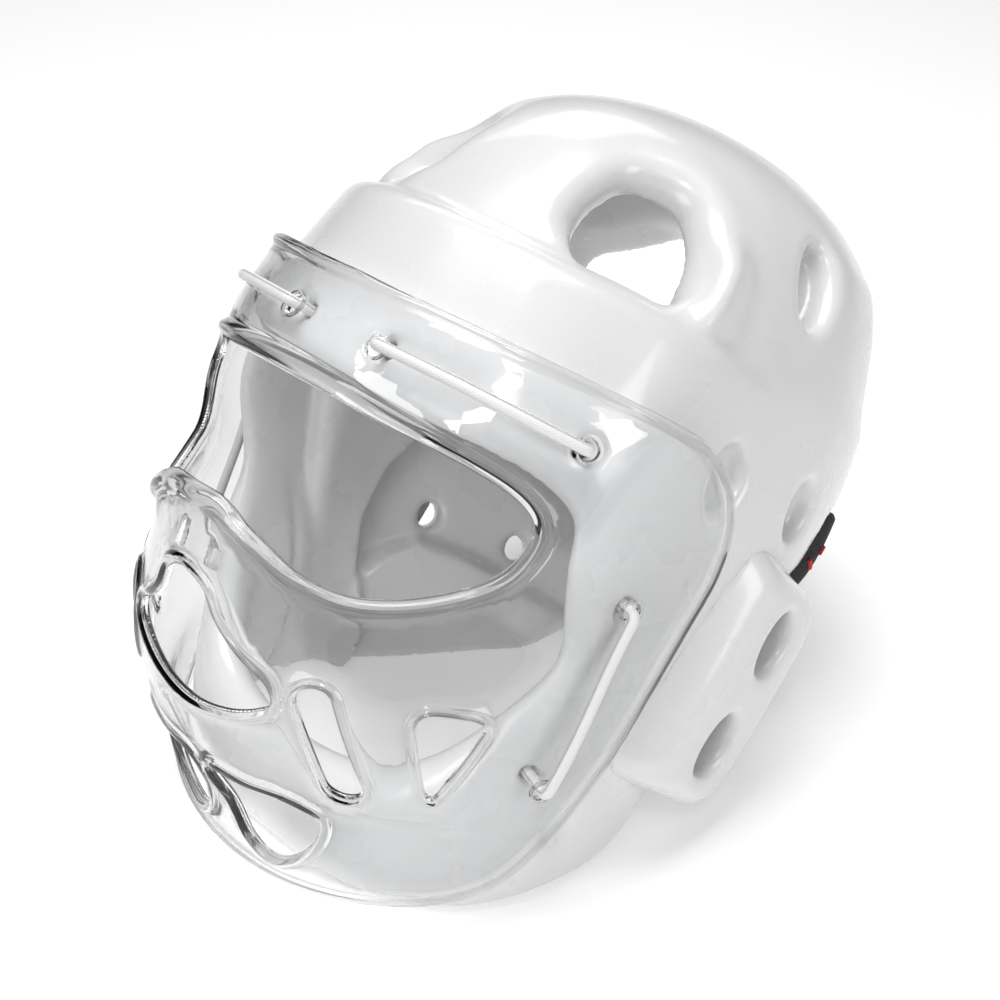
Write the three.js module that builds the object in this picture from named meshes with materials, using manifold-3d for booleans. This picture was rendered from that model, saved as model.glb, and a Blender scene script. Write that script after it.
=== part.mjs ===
// Full-face sparring headgear: a dipped foam shell with ear pads, and a clear face shield laced onto it.
// Millimetres, +Z up, the face toward -Y and the wearer's left toward +X.
// It stands on its bottom rim, and the origin is under the middle of its box.

import * as THREE from 'three';
import { mergeVertices } from 'three/addons/utils/BufferGeometryUtils.js';
import Module from 'manifold-3d';

const wasm = await Module();
wasm.setup();

const deg = THREE.MathUtils.degToRad;

// Driving dimensions
const browTilt = deg(25.8);
const restTilt = deg(12);
const rimHeight = -123.5;
const foamWall = 16;
const shieldWall = 3;
const gap = 0.35;
const shieldStandOff = 0.9;
const shieldAxis = -15;
const shieldBlend = 5;
const shieldSpan = { turn: deg(112), bottom: -160, top: 76 };
const browStep = {
  height: 8.5, top: 53, roll: 4, fullTo: deg(48), goneAt: deg(82), fadeFrom: -30, fadeTo: -70,
};
const cord = { diameter: 3, shieldHole: 7, foamHole: 5.2, bend: 3.5, sides: 8, stepLength: 4 };
const strap = {
  width: 36, thickness: 2.5, level: 3, tuck: 8, from: deg(101), easeOver: deg(22), endRoom: deg(0.6),
};
const earPad = {
  length: 89, width: 65, shift: 7, corner: 16, base: 80, face: 113, y: 13, z: -64, slope: deg(57),
};
const earSlant = { x: 97, across: 34, lean: deg(43) };
const earHole = { length: 24, width: 14, along: [-20, 21] };
// Reach of the cutting prisms: well past everything, and how far back the front ones go
const far = 220;
const faceCutBack = -35;
const shieldCutBack = -50;
// Mesh counts
const columns = { foam: 40, padFit: 96, shield: 32, strap: 28 };
const shieldRows = 24;
const outlineCount = { face: 30, eye: 34, mouth: 24, chin: 16 };
const laceRuns = { brow: 8, cheek: 6 };

// Foam sections in the brow frame, where the brow band is level.
// full widens (or, below zero, narrows) the diagonals of the front and back halves.
const foamSections = [
  { z: -204, half: 63, front: -12, back: 76, fullFront: 0.05, fullBack: -0.06 },
  { z: -173, half: 81, front: -30, back: 90, fullFront: 0.06, fullBack: -0.08 },
  { z: -142, half: 90, front: -49, back: 100, fullFront: 0.05, fullBack: -0.1 },
  { z: -104, half: 96, front: -68, back: 110, fullFront: 0.03, fullBack: -0.11 },
  { z: -76, half: 98, front: -85, back: 120, fullFront: 0.03, fullBack: -0.11 },
  { z: -38, half: 99, front: -100, back: 128, fullFront: 0.03, fullBack: -0.08 },
  { z: 0, half: 100, front: -103, back: 130, fullFront: 0.01, fullBack: 0.03 },
  { z: 47, half: 95, front: -92, back: 129, fullFront: 0, fullBack: 0.02 },
  { z: 62, half: 90, front: -86, back: 126, fullFront: 0, fullBack: 0 },
  { z: 83, half: 81, front: -75, back: 118, fullFront: 0, fullBack: 0 },
  { z: 98.5, half: 72, front: -62, back: 111, fullFront: 0, fullBack: 0 },
  { z: 113, half: 59, front: -43, back: 101, fullFront: 0, fullBack: 0 },
  { z: 126, half: 36, front: -9, back: 80, fullFront: 0, fullBack: 0 },
  { z: 131, half: 0, front: 38, back: 38, fullFront: 0, fullBack: 0 },
];

// Shield sections in the head frame, where the face is upright: a half oval ahead of mid, straight behind it.
const shieldSections = [
  { z: -162, half: 62, mid: -60, front: -106, full: 0 },
  { z: -149, half: 72, mid: -58, front: -111.5, full: 0 },
  { z: -133, half: 83, mid: -52, front: -117.5, full: 0 },
  { z: -119, half: 88, mid: -48, front: -123.5, full: -0.02 },
  { z: -106, half: 91, mid: -46, front: -132, full: -0.05 },
  { z: -95, half: 93, mid: -45, front: -138, full: -0.02 },
  { z: -76, half: 96, mid: -40, front: -142.5, full: 0 },
  { z: -57, half: 97, mid: -36, front: -147, full: -0.02 },
  { z: -26, half: 99, mid: -20, front: -151, full: -0.09 },
  { z: -4, half: 99, mid: -14, front: -153, full: -0.12 },
  { z: 7, half: 99, mid: -12, front: -144, full: -0.1 },
  { z: 34, half: 97, mid: -9, front: -120, full: -0.02 },
  { z: 50, half: 94, mid: -7, front: -104, full: 0 },
  { z: 80, half: 84, mid: -5, front: -92, full: 0 },
];

// Openings, as x and z across the face from the front, one side only
const faceOpening = [
  [0, 27], [40, 26], [66, 20], [78, 10], [81, -2], [81, -25], [79, -48], [71, -66], [59, -84], [44, -96],
  [24, -102], [0, -104],
];
const eyeOpening = [
  [0, 34], [28, 32], [57, 25], [76, 14], [82, 5], [80, -8], [71, -20], [59, -26], [47, -27], [36, -22],
  [25, -12], [13, -4], [0, -3],
];
const mouthOpening = [
  [0, -26], [8, -30], [14, -39], [24, -49], [36, -57], [38, -63], [31, -67], [17, -72], [0, -75],
];
const cheekSlot = { top: [45.5, -57.5], bottom: [54.5, -86], radius: 5, endPoints: 5 };
const cheekTriangle = { corners: [[69, -55], [84, -57.5], [74, -90]], fillet: 6 };
const chinOpening = [
  [5, -102], [20, -101.5], [36, -101], [42, -106], [39, -119], [29, -132], [19, -137], [12, -133],
  [7.5, -118],
];
// The shield's edge from the side, as y and z, from the brow to the chin
const shieldEdge = [
  [-190, 108], [-40, 42], [-27, 35], [-17, 25], [-10, 12], [-8, -2], [-11, -16], [-20, -33], [-44, -81],
  [-69, -123.5], [-84, -135], [-94, -140], [-105, -145], [-112, -148.5], [-190, -180],
];

// Places on the foam as turns from the front and heights in the brow frame
const crownHole = {
  turn: deg(41), z: 55, corner: 8, arch: [[-24, 0], [15.5, 0], [15.5, 26], [6, 41], [-12, 41], [-22, 24]],
};
// Reach of the cuts that go right through the foam, and blind dents and vents with their depth
const cutReach = 2.2 * foamWall;
const vents = [
  { turn: deg(82.5), z: 88, width: 15, height: 33, lean: deg(-8), deep: 12 },
  { turn: deg(75.5), z: 12, width: 17, height: 25, lean: 0, deep: 7 },
  { turn: deg(99.5), z: 15, width: 14, height: 21, lean: deg(8), deep: 7 },
  { turn: deg(74), z: -120.5, width: 8, height: 13, lean: 0, deep: 4 },
  { turn: deg(120), z: -56, width: 9, height: 11, lean: 0, deep: cutReach },
  { turn: deg(145), z: -53, width: 9, height: 11, lean: 0, deep: cutReach },
];
// Opening behind, as x and z in the brow frame, one side only: a wide window that rises as an arch
const rearWindow = [[0, -17], [91, -17], [91, 12], [84, 26], [75, 44], [70, 76], [42, 101], [0, 103]];
const rearCut = { corner: 7, from: 40, splitHalf: 13, splitTop: 0 };
const browLaceTurns = [deg(46), deg(10)];
const cheekLaceHoles = [{ y: -48.5, z: -21 }, { y: -68.5, z: -85.5 }];

// Materials
const matt = (color, roughness, opacity = 1) => new THREE.MeshStandardMaterial({
  color, roughness, metalness: 0, opacity, transparent: opacity < 1 });
const materials = {
  foam: matt(0xf2f2f2, 0.25),
  shield: matt(0xdfe5e8, 0.08, 0.35),
  cord: matt(0xf4f4f2, 0.6),
  strap: matt(0x141416, 0.8),
};

// Value of a table's column at z by a smooth curve through the rows; squared columns round the ends off
function tableAt(rows, column, z, squared = false) {
  const value = (i) => {
    const v = rows[THREE.MathUtils.clamp(i, 0, rows.length - 1)][column];
    return squared ? v * v : v;
  };
  const slope = (i) => {
    const lo = Math.max(i - 1, 0);
    const hi = Math.min(i + 1, rows.length - 1);
    return (value(hi) - value(lo)) / (rows[hi].z - rows[lo].z);
  };
  const top = rows.length - 1;
  const zIn = THREE.MathUtils.clamp(z, rows[0].z, rows[top].z);
  let i = 0;
  while (i < top - 1 && rows[i + 1].z < zIn) i += 1;
  const span = rows[i + 1].z - rows[i].z;
  const t = (zIn - rows[i].z) / span;
  const a = value(i) * (1 + 2 * t) * (1 - t) ** 2 + slope(i) * span * t * (1 - t) ** 2;
  const b = value(i + 1) * t * t * (3 - 2 * t) + slope(i + 1) * span * t * t * (t - 1);
  return squared ? Math.sqrt(Math.max(a + b, 0)) : a + b;
}

const foamTable = foamSections.map((s) => ({
  ...s, mid: (s.front + s.back) / 2, depth: (s.back - s.front) / 2 }));

const smooth = (a, b, v) => THREE.MathUtils.smoothstep(v, a, b);
const smoothMax = (a, b, k) => Math.max(a, b) + Math.max(k - Math.abs(a - b), 0) ** 2 / (4 * k);

// How far the brow band stands proud of the crown
function bandRise(turn, z) {
  const away = Math.abs(Math.atan2(Math.sin(turn), Math.cos(turn)));
  const round = 1 - smooth(browStep.fullTo, browStep.goneAt, away);
  const upper = 1 - smooth(browStep.top - browStep.roll, browStep.top, z);
  const lower = smooth(browStep.fadeTo, browStep.fadeFrom, z);
  return browStep.height * round * upper * lower;
}

function foamSection(z) {
  return {
    half: tableAt(foamTable, 'half', z, true),
    depth: tableAt(foamTable, 'depth', z, true),
    mid: tableAt(foamTable, 'mid', z),
    fullFront: tableAt(foamTable, 'fullFront', z),
    fullBack: tableAt(foamTable, 'fullBack', z),
  };
}

// Point of the plain foam surface in the brow frame
function foamPoint(turn, z) {
  const s = foamSection(z);
  const full = Math.cos(turn) > 0 ? s.fullFront : s.fullBack;
  const spread = 1 + full * Math.sin(2 * turn) ** 2;
  return new THREE.Vector3(s.half * Math.sin(turn) * spread, s.mid - s.depth * Math.cos(turn) * spread, z);
}

function foamNormal(turn, z) {
  const d = 0.01;
  const dz = 0.5;
  const top = foamTable[foamTable.length - 1].z;
  if (z > top - dz) return new THREE.Vector3(0, 0, 1);
  const across = foamPoint(turn + d, z).sub(foamPoint(turn - d, z));
  const up = foamPoint(turn, z + dz).sub(foamPoint(turn, z - dz));
  return across.cross(up).normalize();
}

const toHead = new THREE.Matrix4().makeRotationX(-browTilt);
const toBrow = toHead.clone().invert();

// Point and directions on the foam in the head frame, lifted off the plain surface
function onFoam(turn, z, lift = 0) {
  return foamPoint(turn, z).addScaledVector(foamNormal(turn, z), lift).applyMatrix4(toHead);
}

function foamFrame(turn, z) {
  const n = foamNormal(turn, z).transformDirection(toHead);
  const along = foamPoint(turn + 0.01, z).sub(foamPoint(turn - 0.01, z)).transformDirection(toHead);
  const up = n.clone().cross(along).normalize();
  return new THREE.Matrix4().makeBasis(along, up, n).setPosition(onFoam(turn, z));
}

// Whether a head-frame point lies inside the foam's outer form
function insideFoam(p) {
  const q = p.clone().applyMatrix4(toBrow);
  const s = foamSection(q.z);
  const turn = Math.atan2(q.x / s.half, (s.mid - q.y) / s.depth);
  const rise = bandRise(turn, q.z);
  const full = Math.cos(turn) > 0 ? s.fullFront : s.fullBack;
  const reach = Math.hypot(q.x / (s.half + rise), (s.mid - q.y) / (s.depth + rise));
  return reach < 1 + full * Math.sin(2 * turn) ** 2;
}

function insideBulge(p) {
  const half = tableAt(shieldSections, 'half', p.z);
  const mid = tableAt(shieldSections, 'mid', p.z);
  if (p.y > mid) return Math.abs(p.x) < half;
  const front = tableAt(shieldSections, 'front', p.z);
  const full = tableAt(shieldSections, 'full', p.z);
  const x = p.x / half;
  const y = (mid - p.y) / (mid - front);
  return Math.hypot(x, y) < 1 + full * Math.sin(2 * Math.atan2(x, y)) ** 2;
}

function reachOf(inside, turn, z) {
  let lo = 0;
  let hi = far;
  for (let i = 0; i < 24; i += 1) {
    const r = (lo + hi) / 2;
    const p = new THREE.Vector3(r * Math.sin(turn), shieldAxis - r * Math.cos(turn), z);
    if (inside(p)) lo = r;
    else hi = r;
  }
  return lo;
}

// Inner face of the shield: the face bulge, or clear of the foam where that stands further out
function shieldPoint(turn, z) {
  const clear = reachOf(insideFoam, turn, z) + shieldStandOff;
  const r = smoothMax(reachOf(insideBulge, turn, z), clear, shieldBlend);
  return new THREE.Vector3(r * Math.sin(turn), shieldAxis - r * Math.cos(turn), z);
}

function shieldNormal(turn, z) {
  const across = shieldPoint(turn + 0.02, z).sub(shieldPoint(turn - 0.02, z));
  const up = shieldPoint(turn, z + 1).sub(shieldPoint(turn, z - 1));
  return across.cross(up).normalize();
}

const onShield = (turn, z, lift) => shieldPoint(turn, z).addScaledVector(shieldNormal(turn, z), lift);

// Solids
function solidOf(geometry) {
  const plain = geometry.clone();
  for (const name of Object.keys(plain.attributes)) {
    if (name !== 'position') plain.deleteAttribute(name);
  }
  const merged = mergeVertices(plain, 1e-4);
  const index = merged.index.array;
  const kept = [];
  for (let i = 0; i < index.length; i += 3) {
    const [a, b, c] = [index[i], index[i + 1], index[i + 2]];
    if (a !== b && b !== c && c !== a) kept.push(a, b, c);
  }
  return new wasm.Manifold(new wasm.Mesh({
    numProp: 3,
    vertProperties: new Float32Array(merged.attributes.position.array),
    triVerts: new Uint32Array(kept),
  }));
}

function geometryOf(solid) {
  const mesh = solid.getMesh();
  const geometry = new THREE.BufferGeometry();
  geometry.setAttribute('position', new THREE.BufferAttribute(new Float32Array(mesh.vertProperties), 3));
  geometry.setIndex(new THREE.BufferAttribute(new Uint32Array(mesh.triVerts), 1));
  return geometry;
}

const cut = (solid, ...tools) => tools.flat().reduce((s, tool) => s.subtract(tool), solid);

// Closed wall between an outer and an inner grid of points, each a list of rows
function wallSolid(outer, inner, closedRound) {
  const rows = outer.length;
  const across = outer[0].length;
  const points = [...outer.flat(), ...inner.flat()];
  const at = (side, i, j) => side * rows * across + i * across + (j % across);
  const faces = [];
  const quad = (a, b, c, d) => faces.push(a, b, c, a, c, d);
  const last = across - 1;
  const lastColumn = closedRound ? across : last;
  for (let i = 0; i < rows - 1; i += 1) {
    for (let j = 0; j < lastColumn; j += 1) {
      quad(at(0, i, j), at(0, i, j + 1), at(0, i + 1, j + 1), at(0, i + 1, j));
      quad(at(1, i, j), at(1, i + 1, j), at(1, i + 1, j + 1), at(1, i, j + 1));
    }
  }
  for (let j = 0; j < lastColumn; j += 1) {
    quad(at(0, 0, j), at(1, 0, j), at(1, 0, j + 1), at(0, 0, j + 1));
    if (!closedRound) {
      quad(at(0, rows - 1, j), at(0, rows - 1, j + 1), at(1, rows - 1, j + 1), at(1, rows - 1, j));
    }
  }
  if (!closedRound) {
    for (let i = 0; i < rows - 1; i += 1) {
      quad(at(0, i, 0), at(0, i + 1, 0), at(1, i + 1, 0), at(1, i, 0));
      quad(at(0, i, last), at(1, i, last), at(1, i + 1, last), at(0, i + 1, last));
    }
  }
  const geometry = new THREE.BufferGeometry().setFromPoints(points);
  geometry.setIndex(faces);
  return solidOf(geometry);
}

function range(count, from, to) {
  return Array.from({ length: count + 1 }, (_, i) => from + ((to - from) * i) / count);
}

// Outlines and prisms
const mirrored = (half) => [...half, ...half.slice(1, -1).reverse().map(([x, z]) => [-x, z])];

function roundOutline(points, count) {
  const curve = new THREE.CatmullRomCurve3(points.map(([x, y]) => new THREE.Vector3(x, y, 0)), true);
  return new THREE.Shape(curve.getSpacedPoints(count).slice(0, -1).map((p) => new THREE.Vector2(p.x, p.y)));
}

function filletedOutline(points, radius) {
  const shape = new THREE.Shape();
  const v = points.map(([x, y]) => new THREE.Vector2(x, y));
  v.forEach((corner, i) => {
    const before = v[(i + v.length - 1) % v.length].clone().sub(corner).normalize();
    const after = v[(i + 1) % v.length].clone().sub(corner).normalize();
    const start = corner.clone().addScaledVector(before, radius);
    const end = corner.clone().addScaledVector(after, radius);
    if (i === 0) shape.moveTo(start.x, start.y);
    else shape.lineTo(start.x, start.y);
    shape.quadraticCurveTo(corner.x, corner.y, end.x, end.y);
  });
  shape.closePath();
  return shape;
}

function ovalOutline(width, height, lean = 0) {
  const shape = new THREE.Shape();
  shape.absellipse(0, 0, width / 2, height / 2, 0, 2 * Math.PI, false, lean);
  return shape;
}

function prism(shape, depth, segments = 4) {
  return new THREE.ExtrudeGeometry(shape, { depth, bevelEnabled: false, curveSegments: segments });
}

// Prism along Y of an outline drawn as x and z, from one y to another
function frontPrism(shape, fromY, toY) {
  return prism(shape, toY - fromY).rotateX(Math.PI / 2).translate(0, toY, 0);
}

// Prism along X of an outline drawn as y and z
function sidePrism(shape, fromX, toX) {
  return prism(shape, toX - fromX).rotateX(Math.PI / 2).rotateZ(Math.PI / 2).translate(fromX, 0, 0);
}

// Prism along a frame's third axis, from some way below its origin to past everything above it
function framePrism(shape, frame, below) {
  return prism(shape, below + cutReach, 5).translate(0, 0, -below).applyMatrix4(frame);
}

function rod(from, to, diameter) {
  const axis = to.clone().sub(from);
  const geometry = new THREE.CylinderGeometry(diameter / 2, diameter / 2, axis.length(), 8);
  const up = new THREE.Vector3(0, 1, 0);
  const turn = new THREE.Quaternion().setFromUnitVectors(up, axis.clone().normalize());
  return geometry.applyQuaternion(turn).translate(...from.clone().add(to).multiplyScalar(0.5).toArray());
}

const mirrorX = (geometry) => {
  const copy = geometry.clone().applyMatrix4(new THREE.Matrix4().makeScale(-1, 1, 1));
  if (!copy.index) copy.setIndex([...Array(copy.attributes.position.count).keys()]);
  const index = copy.index.array;
  for (let i = 0; i < index.length; i += 3) [index[i], index[i + 1]] = [index[i + 1], index[i]];
  return copy;
};
const bothSides = (geometry) => [solidOf(geometry), solidOf(mirrorX(geometry))];

// Laces: the holes' ends outside the shield and inside the foam, and the cord through them
const outsideLift = shieldWall + cord.diameter / 2 + 2 * gap;
const insideLift = -(foamWall + cord.diameter / 2 + gap);

function shieldTurnAt(p) {
  return Math.atan2(p.x, shieldAxis - p.y);
}

function browHole(turn) {
  const onBand = onFoam(turn, 0, browStep.height);
  const outside = onShield(shieldTurnAt(onBand), onBand.z, outsideLift);
  return { outside, inside: onFoam(turn, 0, insideLift) };
}

function cheekHole({ y, z }) {
  let turn = deg(60);
  for (let i = 0; i < 20; i += 1) {
    const p = shieldPoint(turn, z);
    turn += (y - p.y) / Math.hypot(p.x, shieldAxis - p.y);
  }
  const outside = onShield(turn, z, outsideLift);
  const inward = -(outsideLift + foamWall + 4 * cord.diameter);
  return { turn, outside, inside: outside.clone().addScaledVector(shieldNormal(turn, z), inward) };
}

// Curve along straight runs with rounded corners
function bentCurve(points, radius) {
  const path = new THREE.CurvePath();
  let from = points[0];
  for (let i = 1; i < points.length - 1; i += 1) {
    const corner = points[i];
    const reach = (p) => Math.min(radius, corner.distanceTo(p) / 2.1);
    const toward = (p) => p.clone().sub(corner).setLength(reach(p)).add(corner);
    const [start, end] = [toward(points[i - 1]), toward(points[i + 1])];
    path.add(new THREE.LineCurve3(from, start));
    path.add(new THREE.QuadraticBezierCurve3(start, corner, end));
    from = end;
  }
  path.add(new THREE.LineCurve3(from, points[points.length - 1]));
  return path;
}

function cordGeometry(points) {
  const path = bentCurve(points, cord.bend);
  const ring = range(cord.sides, 0, 2 * Math.PI).slice(0, -1)
    .map((a) => new THREE.Vector2(Math.cos(a), Math.sin(a)).multiplyScalar(cord.diameter / 2));
  const steps = Math.round(path.getLength() / cord.stepLength);
  return new THREE.ExtrudeGeometry(new THREE.Shape(ring), { extrudePath: path, steps, bevelEnabled: false });
}

const browHoles = [-browLaceTurns[0], -browLaceTurns[1], browLaceTurns[1], browLaceTurns[0]].map(browHole);

function browRun(from, to) {
  return range(laceRuns.brow, from, to).slice(1, -1).map((turn) => browHole(turn).outside);
}

function browLace() {
  const [outer, inner] = browLaceTurns;
  const [a, b, c, d] = browHoles;
  return cordGeometry([a.inside, a.outside, ...browRun(-outer, -inner), b.outside, b.inside,
    c.inside, c.outside, ...browRun(inner, outer), d.outside, d.inside]);
}

const cheekHoles = cheekLaceHoles.map(cheekHole);

function cheekLace() {
  const [upper, lower] = cheekHoles;
  const between = range(laceRuns.cheek, 0, 1).slice(1, -1).map((t) => {
    const turn = THREE.MathUtils.lerp(upper.turn, lower.turn, t);
    const z = THREE.MathUtils.lerp(cheekLaceHoles[0].z, cheekLaceHoles[1].z, t);
    return onShield(turn, z, outsideLift);
  });
  return cordGeometry([upper.inside, upper.outside, ...between, lower.outside, lower.inside]);
}

function laceHoles(diameter) {
  const past = 1.2;
  const bore = ({ inside, outside }) => rod(outside.clone().lerp(inside, past), outside, diameter);
  return [...browHoles.map((h) => solidOf(bore(h))), ...cheekHoles.flatMap((h) => bothSides(bore(h)))];
}

// Strap: a level band round the back, tucked into the foam wall at both ends
function strapSolid(grow) {
  const start = strap.from - (grow ? strap.endRoom : 0);
  const turns = range(columns.strap, start, 2 * Math.PI - start);
  const levels = [strap.level - strap.width / 2 - grow, strap.level + strap.width / 2 + grow];
  const depthAt = (turn) => {
    const fromEnd = Math.min(turn - strap.from, 2 * Math.PI - strap.from - turn);
    return -strap.tuck * (1 - smooth(0, strap.easeOver, fromEnd)) - strap.thickness / 2 - gap;
  };
  const grid = (lift) => levels.map((z) => turns.map((turn) => onFoam(turn, z, depthAt(turn) + lift)));
  return wallSolid(grid(strap.thickness / 2 + grow), grid(-strap.thickness / 2 - grow), false);
}

// Foam shell
const foamLevels = [
  -204, -173, -158, -142, -123, -104, -76, -57, -38, -19, 0, 24, 49, 51, 53, 67, 83, 98.5, 109, 118.5, 126,
  129.7, 131,
];

function foamLayer(count, outerLift, innerLift) {
  const turns = range(count, 0, 2 * Math.PI).slice(0, -1);
  const grid = (lift) => foamLevels.map((z) => turns.map((turn) => onFoam(turn, z, lift(turn, z))));
  return wallSolid(grid((turn, z) => bandRise(turn, z) + outerLift), grid(() => innerLift), true);
}

function foamShell() {
  const shell = foamLayer(columns.foam, 0, -foamWall);
  const floorBox = new THREE.BoxGeometry(4 * far, 4 * far, far).translate(0, 0, rimHeight - far / 2);
  floorBox.applyMatrix4(new THREE.Matrix4().makeRotationX(restTilt));
  const face = frontPrism(roundOutline(mirrored(faceOpening), outlineCount.face), -far, faceCutBack);
  const r = rearCut;
  const rear = frontPrism(filletedOutline(mirrored(rearWindow), r.corner), r.from, far).applyMatrix4(toHead);
  const split = new THREE.BoxGeometry(2 * r.splitHalf, far - r.from, r.splitTop + far)
    .translate(0, (far + r.from) / 2, (r.splitTop - far) / 2).applyMatrix4(toHead);
  const c = crownHole;
  const crown = framePrism(filletedOutline(c.arch, c.corner), foamFrame(c.turn, c.z), cutReach);
  const ventCuts = vents.flatMap((v) => bothSides(
    framePrism(ovalOutline(v.width, v.height, v.lean), foamFrame(v.turn, v.z), v.deep)));
  return cut(shell, solidOf(floorBox), solidOf(face), solidOf(rear), solidOf(split), bothSides(crown),
    ventCuts, laceHoles(cord.foamHole), strapSolid(gap));
}

// Ear pad: a rounded block on the foam's side, hollowed to fit it, slanted in front, with two oval holes
function earPadSolid() {
  const p = earPad;
  const [low, high] = [p.shift - p.width / 2, p.shift + p.width / 2];
  const block = filletedOutline([[-p.length / 2, low], [p.length / 2, low], [p.length / 2, high],
    [-p.length / 2, high]], p.corner);
  const placed = (geometry) => solidOf(geometry.rotateX(p.slope).translate(0, p.y, p.z));
  const oval = ovalOutline(earHole.length, earHole.width);
  const holes = earHole.along.map((x) => placed(sidePrism(oval, 0, far).translate(0, x, 0)));
  const slant = placed(new THREE.BoxGeometry(far, far, far).translate(0, 0, far / 2).rotateY(earSlant.lean)
    .translate(earSlant.x, 0, earSlant.across));
  const fitDepth = 1.5 * foamWall;
  return cut(placed(sidePrism(block, p.base, p.face)), foamLayer(columns.padFit, gap, -fitDepth), holes, slant);
}

// Slot outline: two half circles and the straight sides between them
function slotOutline({ top, bottom, radius, endPoints }) {
  const [topAt, bottomAt] = [new THREE.Vector2(...top), new THREE.Vector2(...bottom)];
  const lean = bottomAt.clone().sub(topAt).angle();
  const end = (centre, facing) => range(endPoints, facing - Math.PI / 2, facing + Math.PI / 2)
    .map((a) => new THREE.Vector2(Math.cos(a), Math.sin(a)).multiplyScalar(radius).add(centre));
  return new THREE.Shape([...end(bottomAt, lean), ...end(topAt, lean + Math.PI)]);
}

// Face shield
function faceShield() {
  const levels = range(shieldRows, shieldSpan.bottom, shieldSpan.top);
  const turns = range(columns.shield, -shieldSpan.turn, shieldSpan.turn);
  const grid = (lift) => levels.map((z) => turns.map((turn) => onShield(turn, z, lift)));
  const sheet = wallSolid(grid(shieldWall), grid(0), false);
  const edge = new THREE.Shape(shieldEdge.map(([y, z]) => new THREE.Vector2(y, z)));
  const face = sheet.intersect(solidOf(sidePrism(edge, -far, far)));
  const throughFront = (shape) => frontPrism(shape, -far, shieldCutBack);
  const middle = (half, count) => solidOf(throughFront(roundOutline(mirrored(half), count)));
  const pair = (shape) => bothSides(throughFront(shape));
  return cut(face, middle(eyeOpening, outlineCount.eye), middle(mouthOpening, outlineCount.mouth),
    pair(slotOutline(cheekSlot)), pair(filletedOutline(cheekTriangle.corners, cheekTriangle.fillet)),
    pair(roundOutline(chinOpening, outlineCount.chin)), laceHoles(cord.shieldHole));
}

// Assembly
const headgear = new THREE.Group();
headgear.rotation.x = -restTilt;

function addPart(name, geometry, material) {
  const mesh = new THREE.Mesh(geometry, material);
  mesh.name = name;
  headgear.add(mesh);
}

const pad = geometryOf(earPadSolid());
const lace = cheekLace();
addPart('foam_shell', geometryOf(foamShell()), materials.foam);
addPart('ear_pad_left', pad, materials.foam);
addPart('ear_pad_right', mirrorX(pad), materials.foam);
addPart('face_shield', geometryOf(faceShield()), materials.shield);
addPart('brow_lace', browLace(), materials.cord);
addPart('cheek_lace_left', lace, materials.cord);
addPart('cheek_lace_right', mirrorX(lace), materials.cord);
addPart('rear_strap', geometryOf(strapSolid(0)), materials.strap);

const part = new THREE.Group();
part.add(headgear);
part.updateMatrixWorld(true);
const box = new THREE.Box3().setFromObject(part, true);
headgear.position.set(-(box.min.x + box.max.x) / 2, -(box.min.y + box.max.y) / 2, -box.min.z);

export default part;
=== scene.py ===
"""Looks for the sparring headgear: soft dipped foam, a clear moulded shield, elastic laces and a rear strap.

Shapes are worked out in millimetres in the same frames as the CAD: the brow frame, where the brow band is
level, the head frame, where the face is upright, and the row frame, where it stands on its rim.
"""
import math

import bpy
import numpy as np
from mathutils import Matrix, Vector
from mathutils.geometry import delaunay_2d_cdt
from mathutils.kdtree import KDTree


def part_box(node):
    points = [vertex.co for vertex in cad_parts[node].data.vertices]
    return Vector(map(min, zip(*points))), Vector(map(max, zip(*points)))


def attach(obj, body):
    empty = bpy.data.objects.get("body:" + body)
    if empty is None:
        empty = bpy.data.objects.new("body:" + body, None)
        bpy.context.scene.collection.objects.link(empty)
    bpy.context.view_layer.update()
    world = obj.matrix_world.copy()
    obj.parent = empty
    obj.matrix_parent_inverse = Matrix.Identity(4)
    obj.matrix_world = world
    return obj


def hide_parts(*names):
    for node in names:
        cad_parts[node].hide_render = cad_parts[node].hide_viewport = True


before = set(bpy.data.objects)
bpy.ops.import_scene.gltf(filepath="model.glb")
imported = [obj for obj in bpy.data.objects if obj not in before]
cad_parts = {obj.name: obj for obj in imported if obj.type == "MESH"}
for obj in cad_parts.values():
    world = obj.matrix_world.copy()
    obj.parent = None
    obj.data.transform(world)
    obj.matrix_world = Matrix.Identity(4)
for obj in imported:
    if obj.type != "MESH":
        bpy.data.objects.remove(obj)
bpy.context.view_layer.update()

MM = 0.001
rad = math.radians

# Frames
BROW_TILT = rad(25.8)
REST_TILT = rad(12)
ROW_SHIFT = np.array([0, 4.469, 123.5])


def turned(points, angle):
    """Points turned about X."""
    c, s = math.cos(angle), math.sin(angle)
    x, y, z = np.moveaxis(np.asarray(points, float), -1, 0)
    return np.stack([x, c * y - s * z, s * y + c * z], -1)


def brow_to_head(p):
    return turned(p, -BROW_TILT)


def head_to_brow(p):
    return turned(p, BROW_TILT)


def head_to_row(p):
    return turned(p, -REST_TILT) + ROW_SHIFT


def row_to_head(p):
    return turned(np.asarray(p) - ROW_SHIFT, REST_TILT)


# Camera at the photograph's angle, measured in the brow frame
CAMERA_TURN = rad(37)
CAMERA_ROLL = rad(27.1)
CAMERA_AWAY = 665
CAMERA_LENS = 64
SENSOR = 36
PICTURE = 1000
AIM_PIXEL = (529, 421)


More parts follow.
